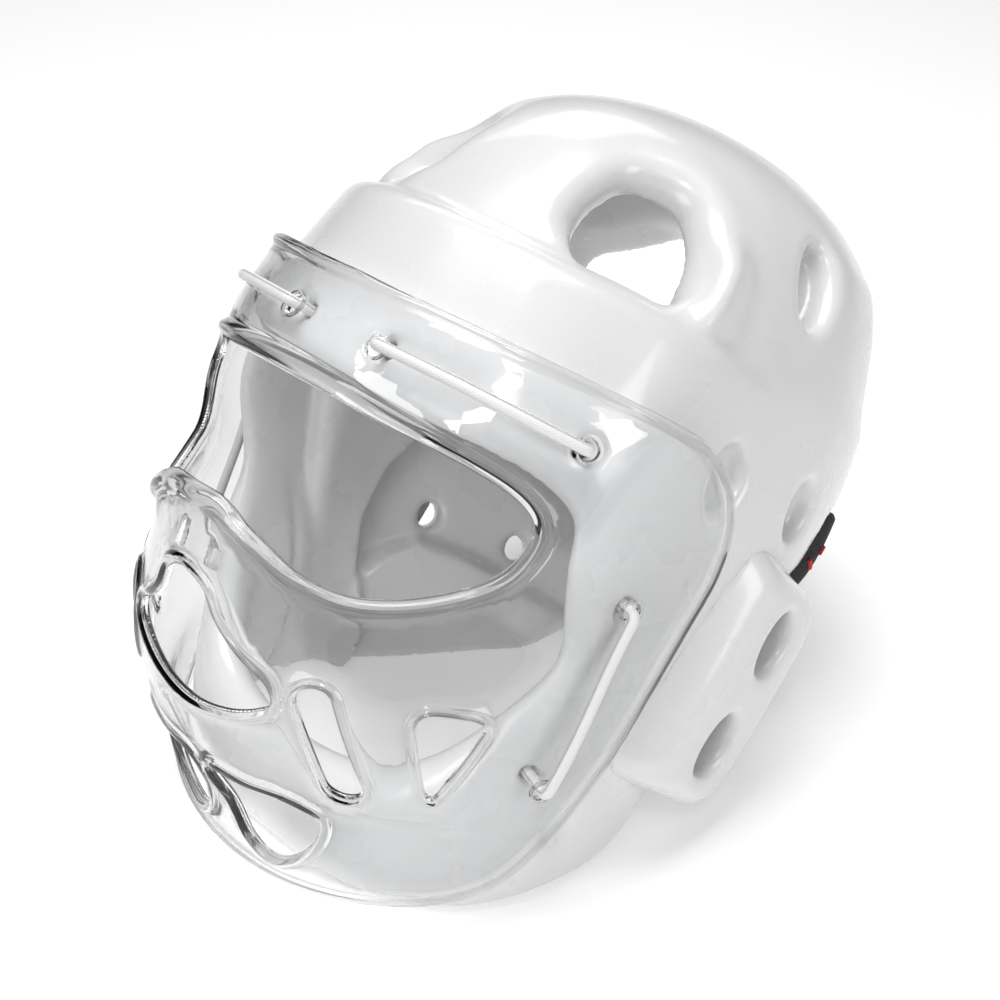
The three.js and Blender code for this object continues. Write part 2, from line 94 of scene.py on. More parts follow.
def make_camera():
    toward = np.array([math.sin(CAMERA_TURN), -math.cos(CAMERA_TURN), 0])
    level = np.array([math.cos(CAMERA_TURN), math.sin(CAMERA_TURN), 0])
    up = np.array([0, 0, 1])
    right = math.cos(CAMERA_ROLL) * level + math.sin(CAMERA_ROLL) * up
    axes = np.stack([right, np.cross(toward, right), toward])
    axes = turned(axes, -BROW_TILT - REST_TILT)
    data = bpy.data.cameras.new("camera")
    data.lens = CAMERA_LENS
    data.sensor_width = SENSOR
    data.shift_x = (PICTURE / 2 - AIM_PIXEL[0]) / PICTURE
    data.shift_y = (AIM_PIXEL[1] - PICTURE / 2) / PICTURE
    data.clip_start = 0.05
    data.clip_end = 50
    camera = bpy.data.objects.new("camera", data)
    matrix = Matrix([list(row) for row in axes.T]).to_4x4()
    matrix.translation = Vector((ROW_SHIFT + axes[2] * CAMERA_AWAY) * MM)
    camera.matrix_world = matrix
    bpy.context.scene.collection.objects.link(camera)
    bpy.context.scene.camera = camera


make_camera()

# Foam sections in the brow frame: z, half width, front, back, fullness of the front and back diagonals
FOAM = np.array([
    (-204, 63, -12, 76, 0.05, -0.06),
    (-173, 81, -30, 90, 0.06, -0.08),
    (-142, 90, -49, 100, 0.05, -0.1),
    (-104, 96, -68, 110, 0.03, -0.11),
    (-76, 98, -85, 120, 0.03, -0.11),
    (-38, 99, -100, 128, 0.03, -0.08),
    (0, 100, -103, 130, 0.01, 0.03),
    (47, 95, -92, 129, 0, 0.02),
    (62, 90, -86, 126, 0, 0),
    (83, 81, -75, 118, 0, 0),
    (98.5, 72, -62, 111, 0, 0),
    (113, 59, -43, 101, 0, 0),
    (126, 36, -9, 80, 0, 0),
    (131, 0, 38, 38, 0, 0),
])
# Shield sections in the head frame: z, half width, middle, front, fullness
SHIELD = np.array([
    (-162, 62, -60, -106, 0),
    (-149, 72, -58, -111.5, 0),
    (-133, 83, -52, -117.5, 0),
    (-119, 88, -48, -123.5, -0.02),
    (-106, 91, -46, -132, -0.05),
    (-95, 93, -45, -138, -0.02),
    (-76, 96, -40, -142.5, 0),
    (-57, 97, -36, -147, -0.02),
    (-26, 99, -20, -151, -0.09),
    (-4, 99, -14, -153, -0.12),
    (7, 99, -12, -144, -0.1),
    (34, 97, -9, -120, -0.02),
    (50, 94, -7, -104, 0),
    (80, 84, -5, -92, 0),
])
# Openings in the head frame as x and z, one side only
FACE_OPENING = [(0, 27), (40, 26), (66, 20), (78, 10), (81, -2), (81, -25), (79, -48), (71, -66), (59, -84),
                (44, -96), (24, -102), (0, -104)]
EYE_OPENING = [(0, 34), (28, 32), (57, 25), (74, 14.5), (79, 6), (77, -4), (69, -14.5), (58, -20.5),
               (46.5, -21.5), (36, -16.5), (25, -7), (13, 0), (0, 1)]
MOUTH_OPENING = [(0, -26), (8, -30), (13, -39.5), (22, -49), (32, -56), (34, -62), (29, -66.5), (17, -72),
                 (0, -75)]
CHEEK_SLOT = [(45.5, -57.5), (54.5, -86)]
CHEEK_SLOT_RADIUS = 5
CHEEK_TRIANGLE = [(69, -55), (84, -57.5), (74, -90)]
CHIN_OPENING = [(5, -102), (20, -101.5), (36, -101), (42, -106), (39, -119), (29, -132), (19, -137),
                (12, -133), (7.5, -118)]
# The shield's edge from the side, as y and z
SHIELD_EDGE = [(-190, 108), (-40, 42), (-27, 35), (-17, 25), (-10, 12), (-8, -2), (-11, -16), (-20, -33),
               (-44, -81), (-69, -123.5), (-84, -135), (-94, -140), (-105, -145), (-112, -148.5),
               (-190, -180)]
# Dents and vents in the foam: turn from the front, brow height, width, height, lean, depth
VENTS = [
    (82.5, 88, 15, 33, -8, 12),
    (75.5, 12, 17, 25, 0, 7),
    (99.5, 15, 14, 21, 8, 7),
    (74, -120.5, 8, 13, 0, 4),
    (120, -56, 9, 11, 0, 40),
    (145, -53, 9, 11, 0, 40),
]
BROW_LACE_TURNS = (rad(46), rad(10))
CHEEK_LACE_HOLES = [(-48.5, -21), (-68.5, -85.5)]

WALL = 16
SHIELD_WALL = 3
GAP = 0.35
STAND_OFF = 0.9
SHIELD_AXIS = -15
SHIELD_BLEND = 5
BAND = dict(height=8.5, top=53, roll=4, full_to=rad(48), gone_at=rad(82), fade_from=-30, fade_to=-70)
# Roundness of the band's edge, and of the corner above it, at most and as a part of its height
BAND_ROUND = dict(edge=8, corner=6, part=0.6)
# Fuller form behind the sides: brow height and how far it stands out, and where it sets in along y
REAR_FORM = np.array([(-45, 0), (0, 2.5), (27, 3.4), (61, 4.2), (87, 6), (101, 6), (112, 2.5), (123, 0)])
REAR_FORM_FROM = (-8, 36)
# Padding inside the sides: brow height and the turn at which it ends toward the back
SIDE_PAD_END = np.array([(-110, 108), (-85, 102.5), (-66, 98), (-43, 99), (-23, 106), (10, 116)])
SIDE_PAD = dict(thick=10, front=(56, 74), before_end=2.5, past_end=2, top=(-8, 24))
# Padding inside the nape: turn and the brow height of its upper edge
NAPE_PAD_TOP = np.array([(100, -88), (103, -85), (109, -73), (118, -62), (135, -60), (180, -62)])
NAPE_PAD = dict(thick=9, front=(100, 106), edge=5)
# Brow heights over which the padding sets in from below
PADDING_FROM = (-150, -112)
# Mould seam inside the cheek roll: brow height and turn, and the groove along it
CHEEK_SEAM = np.array([(-130, 77), (-100, 73), (-75, 70.5), (-50, 67.5), (-26, 62), (0, 57)])
CHEEK_GROOVE = dict(deep=3.2, half=1.9, low=-135, high=5, radius=90)
STRAP = dict(width=36, thickness=2.5, level=3, tuck=8, start=rad(101), ease=rad(22), edge=1.2, radius=100)
# Weave marks a column, how far the strap stands out behind and from which turns, and the room cut around it
STRAP_STEP = 2.0
STRAP_PROUD = dict(height=5.5, start=rad(4), full=rad(26))
STRAP_ROOM = dict(around=0.8, end=0.01)
# Cords as in the CAD and as they look, the foam left behind their ends, and their holes in the foam
CORD = 3.0
CORD_WIDTH = 4.0
LACE_COVER = 11
LACE_HOLE = 3.1
LACE_BEND = 3.5
LACE_POINTS = 13
PAD = dict(length=89, width=65, shift=7, corner=16, face=113, y=13, z=-64, slope=rad(57))
PAD_SLANT = dict(across=34, x=97, lean=rad(43))
# Crown of the pad's face, fillets onto the foam at its sides and front, and roundness of its edges
PAD_DOME = dict(height=1.5, along=44, across=25)
PAD_FLARE = dict(sides=2.5, front=1.0, reach=4)
PAD_ROUND = dict(face=11, front=7, holes=6)
PAD_SEAT = 0.8
# Holes in the pad: place along it, length, width
PAD_HOLES = [(-20, 24, 14), (21, 24, 14)]
# Crown hole on the foam: its arch, level with the surface, as steps along and up
CROWN_HOLE = dict(turn=rad(41), z=55, corner=8)
CROWN_ARCH = [(-24, 0), (15.5, 0), (15.5, 26), (6, 41), (-12, 41), (-22, 24)]
# Roundness outside: at its foot, more toward its top, and the steps up over which it grows
CROWN_ROUND = dict(foot=6, more=14, over=(0, 16), inside=5)
# Raised roll around it: height in front, more behind, less above, distance from the arch and half width
CROWN_ROLL = dict(height=0.8, more=6.2, along=(-14, 14), less=0.85, up=(20, 42), away=13, half=8,
                  foot=(-9, 6))
# Opening behind in the brow frame as x and z, one side only: a wide window that rises as an arch
REAR_WINDOW = [(0, -17), (91, -17), (91, 12), (84, 26), (75, 44), (70, 76), (42, 101), (0, 103)]
REAR_CUT = dict(corner=7, start=40, split=13, split_top=0, blend=8)
# Cuts in the foam: the face opening's reach in y, the others' depth, and roundness outside and inside
FACE_CUT_TO = -35
CUT_DEPTH = 36
VENT_FLOOR = 5
ROUND = dict(face=(14, 9), rear=(7, 6), vent=(6, 4), lace=(2.5, 2), strap=(1.5, 1.5), rim=(7, 6))
# Red bar-tack stitches on the strap: turn, brow height, length and lean from the strap's own direction
BAR_TACKS = [(rad(120.4), 0.6, 6.0, rad(-25)), (rad(123.4), 7.0, 3.5, rad(65))]
BAR_TACK = dict(width=2.0, lift=0.2, sides=10, spacing=0.4)
# Mesh steps, the largest value a field keeps, and the room around the foam's wall that is worked out
FOAM_STEP = 2.1
PAD_STEP = 1.3
PAD_MARGIN = (6, 20, 20)
FIELD_LIMIT = 9.0
FIELD_ROOM = dict(inside=14, outside=16)


# Small mathematics
def smooth(a, b, v):
    t = np.clip((v - a) / (b - a), 0, 1)
    return t * t * (3 - 2 * t)


def blend_max(a, b, k):
    k = np.maximum(k, 1e-6)
    return np.maximum(a, b) + np.maximum(k - np.abs(a - b), 0) ** 2 / (4 * k)


def blend_min(a, b, k):
    return -blend_max(-a, -b, k)


def unit(v):
    return v / np.linalg.norm(v, axis=-1, keepdims=True)


def column(z, values, squared=False):
    """A smooth curve through a table's column, as a function of z; squared columns round the ends off."""
    v = np.asarray(values, float) ** (2 if squared else 1)
    n = np.arange(len(z))
    lo, hi = np.maximum(n - 1, 0), np.minimum(n + 1, len(z) - 1)
    slope = (v[hi] - v[lo]) / (z[hi] - z[lo])

    def at(q):
        q = np.clip(q, z[0], z[-1])
        i = np.clip(np.searchsorted(z, q) - 1, 0, len(z) - 2)
        span = z[i + 1] - z[i]
        t = (q - z[i]) / span
        a = v[i] * (1 + 2 * t) * (1 - t) ** 2 + slope[i] * span * t * (1 - t) ** 2
        b = v[i + 1] * t * t * (3 - 2 * t) + slope[i + 1] * span * t * t * (t - 1)
        return np.sqrt(np.maximum(a + b, 0)) if squared else a + b

    return at


foam_half = column(FOAM[:, 0], FOAM[:, 1], True)
foam_depth = column(FOAM[:, 0], (FOAM[:, 3] - FOAM[:, 2]) / 2, True)
foam_mid = column(FOAM[:, 0], (FOAM[:, 3] + FOAM[:, 2]) / 2)
foam_full_front = column(FOAM[:, 0], FOAM[:, 4])
foam_full_back = column(FOAM[:, 0], FOAM[:, 5])
shield_half = column(SHIELD[:, 0], SHIELD[:, 1])
shield_mid = column(SHIELD[:, 0], SHIELD[:, 2])
shield_front = column(SHIELD[:, 0], SHIELD[:, 3])
shield_full = column(SHIELD[:, 0], SHIELD[:, 4])


def foam_full(turn, z):
    return np.where(np.cos(turn) > 0, foam_full_front(z), foam_full_back(z))


def foam_point(turn, z):
    spread = 1 + foam_full(turn, z) * np.sin(2 * turn) ** 2
    x = foam_half(z) * np.sin(turn) * spread
    y = foam_mid(z) - foam_depth(z) * np.cos(turn) * spread
    return np.stack([x, y, z + 0 * turn], -1)


def foam_normal(turn, z):
    across = foam_point(turn + 0.01, z) - foam_point(turn - 0.01, z)
    top = FOAM[-1, 0] - 0.5
    low = np.minimum(z, top)
    up = foam_point(turn, low + 0.5) - foam_point(turn, low - 0.5)
    return np.where((z > top)[..., None], np.array([0, 0, 1.0]), unit(np.cross(across, up)))


def foam_turn(p):
    """Turn from the front of brow-frame points."""
    half, depth = np.maximum(foam_half(p[..., 2]), 1), np.maximum(foam_depth(p[..., 2]), 1)
    return np.arctan2(p[..., 0] / half, (foam_mid(p[..., 2]) - p[..., 1]) / depth)


def on_foam(turn, z, lift=0.0):
    turn, z = np.broadcast_arrays(np.asarray(turn, float), np.asarray(z, float))
    lift = np.broadcast_to(lift, turn.shape)[..., None]
    return brow_to_head(foam_point(turn, z) + foam_normal(turn, z) * lift)


def band_fade(turn, z):
    """How much of the brow band's height is there, apart from its top edge."""
    away = np.abs(np.arctan2(np.sin(turn), np.cos(turn)))
    around = 1 - smooth(BAND["full_to"], BAND["gone_at"], away)
    return around * smooth(BAND["fade_to"], BAND["fade_from"], z)


def inside_foam(p):
    q = head_to_brow(p)
    z = q[..., 2]
    turn = foam_turn(q)
    rise = BAND["height"] * band_fade(turn, z) * (1 - smooth(BAND["top"] - BAND["roll"], BAND["top"], z))
    reach = np.hypot(q[..., 0] / (foam_half(z) + rise), (foam_mid(z) - q[..., 1]) / (foam_depth(z) + rise))
    return reach < 1 + foam_full(turn, z) * np.sin(2 * turn) ** 2


def inside_bulge(p):
    x, y, z = np.moveaxis(p, -1, 0)
    half, mid = shield_half(z), shield_mid(z)
    across, ahead = x / half, (mid - y) / (mid - shield_front(z))
    reach = np.hypot(across, ahead) < 1 + shield_full(z) * np.sin(2 * np.arctan2(across, ahead)) ** 2
    return np.where(y > mid, np.abs(x) < half, reach)


def reach_of(inside, turn, z):
    lo, hi = np.zeros_like(turn), np.full_like(turn, 220.0)
    for _ in range(24):
        r = (lo + hi) / 2
        found = inside(np.stack([r * np.sin(turn), SHIELD_AXIS - r * np.cos(turn), z], -1))
        lo, hi = np.where(found, r, lo), np.where(found, hi, r)
    return lo


def shield_radius(turn, z):
    bulge = reach_of(inside_bulge, turn, z)
    over_foam = reach_of(inside_foam, turn, z) + STAND_OFF
    return blend_max(bulge, over_foam, SHIELD_BLEND)


def shield_point(turn, z):
    turn, z = np.broadcast_arrays(np.asarray(turn, float), np.asarray(z, float))
    r = shield_radius(turn, z)
    return np.stack([r * np.sin(turn), SHIELD_AXIS - r * np.cos(turn), z], -1)


def shield_normal(turn, z):
    across = shield_point(turn + 0.02, z) - shield_point(turn - 0.02, z)
    up = shield_point(turn, z + 1) - shield_point(turn, z - 1)
    return unit(np.cross(across, up))


def on_shield(turn, z, lift):
    return shield_point(turn, z) + shield_normal(turn, z) * lift


# Outlines
def mirrored(half):
    return half + [(-x, z) for x, z in half[-2:0:-1]]


def curve_through(points, per_span=8, closed=True):
    """Smooth curve through points, without overshooting where they are uneven."""
    p = np.asarray(points, float)
    n = len(p)
    out = []
    for i in range(n if closed else n - 1):
        a, b, c, d = (p[(i + k) % n] if closed else p[min(max(i + k, 0), n - 1)] for k in (-1, 0, 1, 2))
        da, db, dc = (max(math.sqrt(np.linalg.norm(v - u)), 1e-4) for u, v in ((a, b), (b, c), (c, d)))
        if not closed and i == 0:
            da, a = db, 2 * b - c
        if not closed and i == n - 2:
            dc, d = db, 2 * c - b
        m1 = ((b - a) / da - (c - a) / (da + db) + (c - b) / db) * db
        m2 = ((c - b) / db - (d - b) / (db + dc) + (d - c) / dc) * db
        for t in np.arange(per_span) / per_span:
            out.append(b * (1 + 2 * t) * (1 - t) ** 2 + m1 * t * (1 - t) ** 2
                       + c * t * t * (3 - 2 * t) + m2 * t * t * (t - 1))
    if not closed:
        out.append(p[-1])
    return np.array(out)


def filleted(points, radius, per_corner=6):
    p = np.asarray(points, float)
    out = []
    for i, corner in enumerate(p):
        start = corner + radius * unit(p[i - 1] - corner)
        end = corner + radius * unit(p[(i + 1) % len(p)] - corner)
        for t in np.linspace(0, 1, per_corner + 1):
            out.append(start * (1 - t) ** 2 + 2 * corner * t * (1 - t) + end * t * t)
    return np.array(out)


def slot_outline(top, bottom, radius, per_end=10):
    top, bottom = np.asarray(top, float), np.asarray(bottom, float)
    lean = math.atan2(*(bottom - top)[::-1])
    ends = []
    for centre, facing in ((bottom, lean), (top, lean + math.pi)):
        a = facing + np.linspace(-math.pi / 2, math.pi / 2, per_end + 1)
        ends.append(centre + radius * np.stack([np.cos(a), np.sin(a)], -1))
    return np.concatenate(ends)


def circle(radius, count=20):
    a = np.arange(count) * 2 * math.pi / count
    return radius * np.stack([np.cos(a), np.sin(a)], -1)


def resampled(points, spacing, closed=True):
    p = np.asarray(points, float)
    if closed:
        p = np.concatenate([p, p[:1]])
    along = np.concatenate([[0], np.cumsum(np.linalg.norm(np.diff(p, axis=0), axis=1))])
    count = max(int(round(along[-1] / spacing)), 8)
    at = np.linspace(0, along[-1], count + 1)
    out = np.stack([np.interp(at, along, p[:, i]) for i in range(p.shape[1])], -1)
    return out[:-1] if closed else out


def outline_distance(x, z, outline):
    """Signed distance to a closed outline, below zero inside."""
    best = np.full(x.shape, 1e9)
    inside = np.zeros(x.shape, bool)
    for (ax, az), (bx, bz) in zip(outline, np.roll(outline, -1, 0)):
        ex, ez = bx - ax, bz - az
        length = ex * ex + ez * ez
        if length < 1e-9:
            continue
        t = np.clip(((x - ax) * ex + (z - az) * ez) / length, 0, 1)
        np.minimum(best, (x - ax - t * ex) ** 2 + (z - az - t * ez) ** 2, out=best)
        if abs(ez) > 1e-9:
            inside ^= ((az > z) != (bz > z)) & (x < ax + (z - az) * ex / ez)
    return np.where(inside, -1, 1) * np.sqrt(best)


def oval_distance(x, z, a, b):
    near = np.hypot(x / a, z / b)
    return near * (near - 1) / np.maximum(np.hypot(x / a ** 2, z / b ** 2), 1e-6)


def box_distance(x, z, half_x, half_z, corner):
    qx, qz = np.abs(x) - half_x + corner, np.abs(z) - half_z + corner
    return np.hypot(np.maximum(qx, 0), np.maximum(qz, 0)) + np.minimum(np.maximum(qx, qz), 0) - corner


# Meshes
def make_object(name, verts, faces, material):
    """A smooth-shaded mesh piece from head-frame or row-frame millimetres turned to row metres."""
    mesh = bpy.data.meshes.new(name)
    mesh.from_pydata((np.asarray(verts) * MM).tolist(), [], [list(map(int, f)) for f in faces])
    mesh.validate()
    mesh.materials.append(material)
    mesh.polygons.foreach_set("use_smooth", [True] * len(mesh.polygons))
    mesh.update()
    piece = bpy.data.objects.new(name, mesh)
    bpy.context.scene.collection.objects.link(piece)
    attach(piece, "root")
    return piece


def surface_nets(field):
    """Vertices, in cells, and quads of a field's zero level, facing out of its negative side."""
    shape = np.array(field.shape)
    total = np.zeros((*(shape - 1), 3))
    count = np.zeros(shape - 1)
    crossings = []
    for axis in range(3):
        low = np.take(field, range(shape[axis] - 1), axis)
        high = np.take(field, range(1, shape[axis]), axis)
        cross = (low < 0) != (high < 0)
        at = np.where(cross, low / np.where(cross, low - high, 1), 0)
        crossings.append((cross, low < 0))
        u, v = (axis + 1) % 3, (axis + 2) % 3
        for du in (0, 1):
            for dv in (0, 1):
                part = [slice(None)] * 3
                part[u] = slice(du, shape[u] - 1 + du)
                part[v] = slice(dv, shape[v] - 1 + dv)
                here = cross[tuple(part)]
                count += here
                total[..., axis] += at[tuple(part)]
                total[..., u] += here * du
                total[..., v] += here * dv
    cells = np.argwhere(count > 0)
    index = np.full(shape - 1, -1)
    index[tuple(cells.T)] = np.arange(len(cells))
    verts = cells + total[tuple(cells.T)] / count[tuple(cells.T)][:, None]
    quads = []
    for axis in range(3):
        cross, inside = crossings[axis]
        u, v = (axis + 1) % 3, (axis + 2) % 3
        edges = np.argwhere(cross)
        for side in (u, v):
            edges = edges[(edges[:, side] > 0) & (edges[:, side] < shape[side] - 1)]
        corners = []
        for du, dv in ((1, 1), (0, 1), (0, 0), (1, 0)):
            cell = edges.copy()
            cell[:, u] -= du
            cell[:, v] -= dv
            corners.append(index[tuple(cell.T)])
        quad = np.stack(corners, -1)
        flip = ~inside[tuple(edges.T)]
        quad[flip] = quad[flip][:, ::-1]
        quads.append(quad)
    return verts, np.concatenate(quads)


def sampled(field, at):
    """Field values between the grid's points."""
    at = np.clip(at, 0, np.array(field.shape[:3]) - 1.001)
    i = at.astype(int)
    t = at - i
    out = 0
    for corner in np.ndindex(2, 2, 2):
        weight = np.prod(np.where(corner, t, 1 - t), axis=-1)
        value = field[tuple((i + corner).T)]
        out = out + (weight[:, None] * value if value.ndim > 1 else weight * value)
    return out


def field_mesh(field, origin, step, relax=2):
    """Mesh of a field's zero level, evened out and drawn back onto the level."""
    verts, quads = surface_nets(field)
    slope = np.stack(np.gradient(field), -1)
    ends = np.concatenate([quads[:, [0, 1]], quads[:, [1, 2]], quads[:, [2, 3]], quads[:, [3, 0]]])
    for turn in range(relax + 1):
        if turn:
            total, near = np.zeros_like(verts), np.zeros(len(verts))
            for a, b in ((0, 1), (1, 0)):
                for k in range(3):
                    total[:, k] += np.bincount(ends[:, a], verts[ends[:, b], k], len(verts))
                near += np.bincount(ends[:, a], minlength=len(verts))
            verts = verts * 0.5 + 0.5 * total / near[:, None]
        g = sampled(slope, verts)
        size = np.maximum((g ** 2).sum(1), 1e-4)
        move = -(sampled(field, verts) / size)[:, None] * g
        verts = verts + np.clip(move, -0.7, 0.7)
    return verts * step + origin, quads


# Materials
def new_material(name):
    material = bpy.data.materials.new(name)
    material.use_nodes = True
    tree = material.node_tree
    return material, tree, tree.nodes["Principled BSDF"]


def add(tree, kind, **values):
    node = tree.nodes.new(kind)
    for key, value in values.items():
        if key in node.inputs:
            node.inputs[key].default_value = value
        else:
            setattr(node, key, value)
    return node


def noise_bump(tree, shader, layers):
    """Bump from noise layers, each a scale per metre, a depth in metres and a detail."""
    where = add(tree, "ShaderNodeTexCoord")
    last = None
    for scale, depth, detail in layers:
        noise = add(tree, "ShaderNodeTexNoise", Scale=scale, Detail=detail, Roughness=0.5)
        tree.links.new(where.outputs["Object"], noise.inputs["Vector"])
        bump = add(tree, "ShaderNodeBump", Strength=1.0, Distance=depth)
        tree.links.new(noise.outputs["Fac"], bump.inputs["Height"])
        if last:
            tree.links.new(last.outputs["Normal"], bump.inputs["Normal"])
        last = bump
    tree.links.new(last.outputs["Normal"], shader.inputs["Normal"])
    return where


def foam_material():
    material, tree, shader = new_material("dipped_foam")
    shader.inputs["Base Color"].default_value = (0.69, 0.69, 0.695, 1)
    shader.inputs["IOR"].default_value = 1.5
    shader.inputs["Coat Weight"].default_value = 0.35
    shader.inputs["Coat Roughness"].default_value = 0.08
    where = noise_bump(tree, shader, [(28, 0.0008, 1), (420, 0.00003, 2)])
    patches = add(tree, "ShaderNodeTexNoise", Scale=30.0, Detail=3.0)
    tree.links.new(where.outputs["Object"], patches.inputs["Vector"])
    spans = {"From Min": 0.3, "From Max": 0.7, "To Min": 0.2, "To Max": 0.34}
    spread = add(tree, "ShaderNodeMapRange", **spans)
    tree.links.new(patches.outputs["Fac"], spread.inputs["Value"])
    tree.links.new(spread.outputs["Result"], shader.inputs["Roughness"])
    return material


def shield_material():
    material, tree, shader = new_material("clear_shield")
    shader.inputs["Base Color"].default_value = (0.915, 0.918, 0.92, 1)
    shader.inputs["Roughness"].default_value = 0.02
    shader.inputs["IOR"].default_value = 1.5
    shader.inputs["Transmission Weight"].default_value = 1
    noise_bump(tree, shader, [(22, 0.0003, 0), (900, 0.000004, 1)])
    passing = add(tree, "ShaderNodeBsdfTransparent", Color=(0.95, 0.953, 0.955, 1))
    path = add(tree, "ShaderNodeLightPath")
    mix = add(tree, "ShaderNodeMixShader")
    tree.links.new(path.outputs["Is Shadow Ray"], mix.inputs["Fac"])
    tree.links.new(shader.outputs["BSDF"], mix.inputs[1])
    tree.links.new(passing.outputs["BSDF"], mix.inputs[2])
    tree.links.new(mix.outputs["Shader"], tree.nodes["Material Output"].inputs["Surface"])
    depth = add(tree, "ShaderNodeVolumeAbsorption", Color=(0.1, 0.105, 0.11, 1), Density=38.0)
    tree.links.new(depth.outputs["Volume"], tree.nodes["Material Output"].inputs["Volume"])
    return material


def attribute_wave(tree, name, per_unit):
    """A wave along a mesh attribute, from -1 to 1."""
    source = add(tree, "ShaderNodeAttribute", attribute_name=name)
    scaled = add(tree, "ShaderNodeMath", operation="MULTIPLY")
    scaled.inputs[1].default_value = per_unit * 2 * math.pi
    tree.links.new(source.outputs["Fac"], scaled.inputs[0])
    wave = add(tree, "ShaderNodeMath", operation="SINE")
    tree.links.new(scaled.outputs["Value"], wave.inputs[0])
    return wave


def woven_material(name, color, hollow_shade, along_rate, across_rate, depth, roughness):
    """A weave bump whose colour goes from the thread's own colour on the high parts to a darker tone in the
    low parts, which is painted shade in the weave's hollows: waves along and across for each unit, bump depth
    in metres.
    """
    material, tree, shader = new_material(name)
    along = attribute_wave(tree, "along", along_rate)
    across = attribute_wave(tree, "across", across_rate)
    weave = add(tree, "ShaderNodeMath", operation="MULTIPLY")
    tree.links.new(along.outputs["Value"], weave.inputs[0])
    tree.links.new(across.outputs["Value"], weave.inputs[1])
    bump = add(tree, "ShaderNodeBump", Strength=1.0, Distance=depth)
    tree.links.new(weave.outputs["Value"], bump.inputs["Height"])
    tree.links.new(bump.outputs["Normal"], shader.inputs["Normal"])
    # Painted shade: the colour goes to the darker tone where the weave's bump is lowest, in its hollows.
    ramp = add(tree, "ShaderNodeMapRange", **{"From Min": -1})
    tree.links.new(weave.outputs["Value"], ramp.inputs["Value"])
    mix = add(tree, "ShaderNodeMix", data_type="RGBA")
    mix.inputs["A"].default_value = (*hollow_shade, 1)
    mix.inputs["B"].default_value = (*color, 1)
    tree.links.new(ramp.outputs["Result"], mix.inputs["Factor"])
    tree.links.new(mix.outputs["Result"], shader.inputs["Base Color"])
    shader.inputs["Roughness"].default_value = roughness
    return material


FOAM_LOOK = foam_material()
SHIELD_LOOK = shield_material()
# The second colour of each woven look is painted shade for the hollows of its weave.
CORD_LOOK = woven_material("elastic_cord", (0.8, 0.8, 0.79), (0.74, 0.74, 0.73), 0.55, 12, 0.00006, 0.5)
STRAP_LOOK = woven_material("woven_strap", (0.016, 0.016, 0.018), (0.005, 0.005, 0.006),
                            0.6, 0.45, 0.0005, 0.85)
THREAD_LOOK = woven_material("red_thread", (0.6, 0.012, 0.018), (0.4, 0.006, 0.01), 1.2, 6, 0.0001, 0.6)


# Lace holes in the head frame: where the cord lies outside the shield, and where it ends inside the foam
OUTSIDE = SHIELD_WALL + CORD / 2 + 2 * GAP
INSIDE = -(WALL + CORD / 2 + GAP)


def brow_hole(turn):
    p = on_foam(turn, 0.0, BAND["height"])
    at = np.arctan2(p[..., 0], SHIELD_AXIS - p[..., 1])
    return at, p[..., 2], on_shield(at, p[..., 2], OUTSIDE), on_foam(turn, 0.0, INSIDE)


def cheek_hole(y, z):
    turn = np.array(rad(60))
    z = np.array(float(z))
    for _ in range(20):
        p = shield_point(turn, z)
        turn = turn + (y - p[1]) / math.hypot(p[0], SHIELD_AXIS - p[1])
    outside = on_shield(turn, z, OUTSIDE)
    return turn, z, outside, outside - shield_normal(turn, z) * (OUTSIDE + WALL + 4 * CORD)


def tucked(hole):
    """Where a lace ends, well inside the foam's wall."""
    _, _, outside, inside = hole
    way = outside + (inside - outside) * np.linspace(0, 1, 60)[:, None]
    return way[np.argmin(np.abs(plain_distance(head_to_brow(way)) + WALL - LACE_COVER))]


BROW_HOLES = [brow_hole(np.array(t)) for t in BROW_LACE_TURNS]
CHEEK_HOLES = [cheek_hole(y, z) for y, z in CHEEK_LACE_HOLES]

# Dense samples of the plain foam surface: level rows up to the dome, then closer and closer to its top
DOME_FROM = 100
SIDE_ROWS = 170
DOME_ROWS = 45


def plain_samples():
    low, top = FOAM[0, 0], FOAM[-1, 0]
    dome = top - (top - DOME_FROM) * np.linspace(1, 0, DOME_ROWS)[1:] ** 2
    levels = np.concatenate([np.linspace(low, DOME_FROM, SIDE_ROWS), dome])
    turns = np.radians(np.arange(-16, 197, 1.0))
    turn, z = (g.ravel() for g in np.meshgrid(turns, levels))
    points = foam_point(turn, z)
    tree = KDTree(len(points))
    for i, p in enumerate(points.tolist()):
        tree.insert(p, i)
    tree.balance()
    return points, foam_normal(turn, z), tree


PLAIN, PLAIN_NORMAL, TREE = plain_samples()


def plain_distance(points):
    """Signed distance of brow-frame points, on the left side, to the foam's plain outer surface."""
    near = np.array([TREE.find(p)[1] for p in points.tolist()])
    return ((points - PLAIN[near]) * PLAIN_NORMAL[near]).sum(1)


def rear_rise(brow):
    return np.interp(brow[:, 2], *REAR_FORM.T) * smooth(*REAR_FORM_FROM, brow[:, 1])


def strap_depth(turn):
    """Middle of the strap over the plain surface: tucked into the foam at its ends, proud of it behind."""
    s = STRAP
    from_end = math.pi - s["start"] - np.abs(math.pi - np.abs(turn))
    tuck = -s["tuck"] * (1 - smooth(0, s["ease"], from_end))
    proud = STRAP_PROUD["height"] * smooth(STRAP_PROUD["start"], STRAP_PROUD["full"], from_end)
    return tuck - s["thickness"] / 2 - GAP + proud, from_end


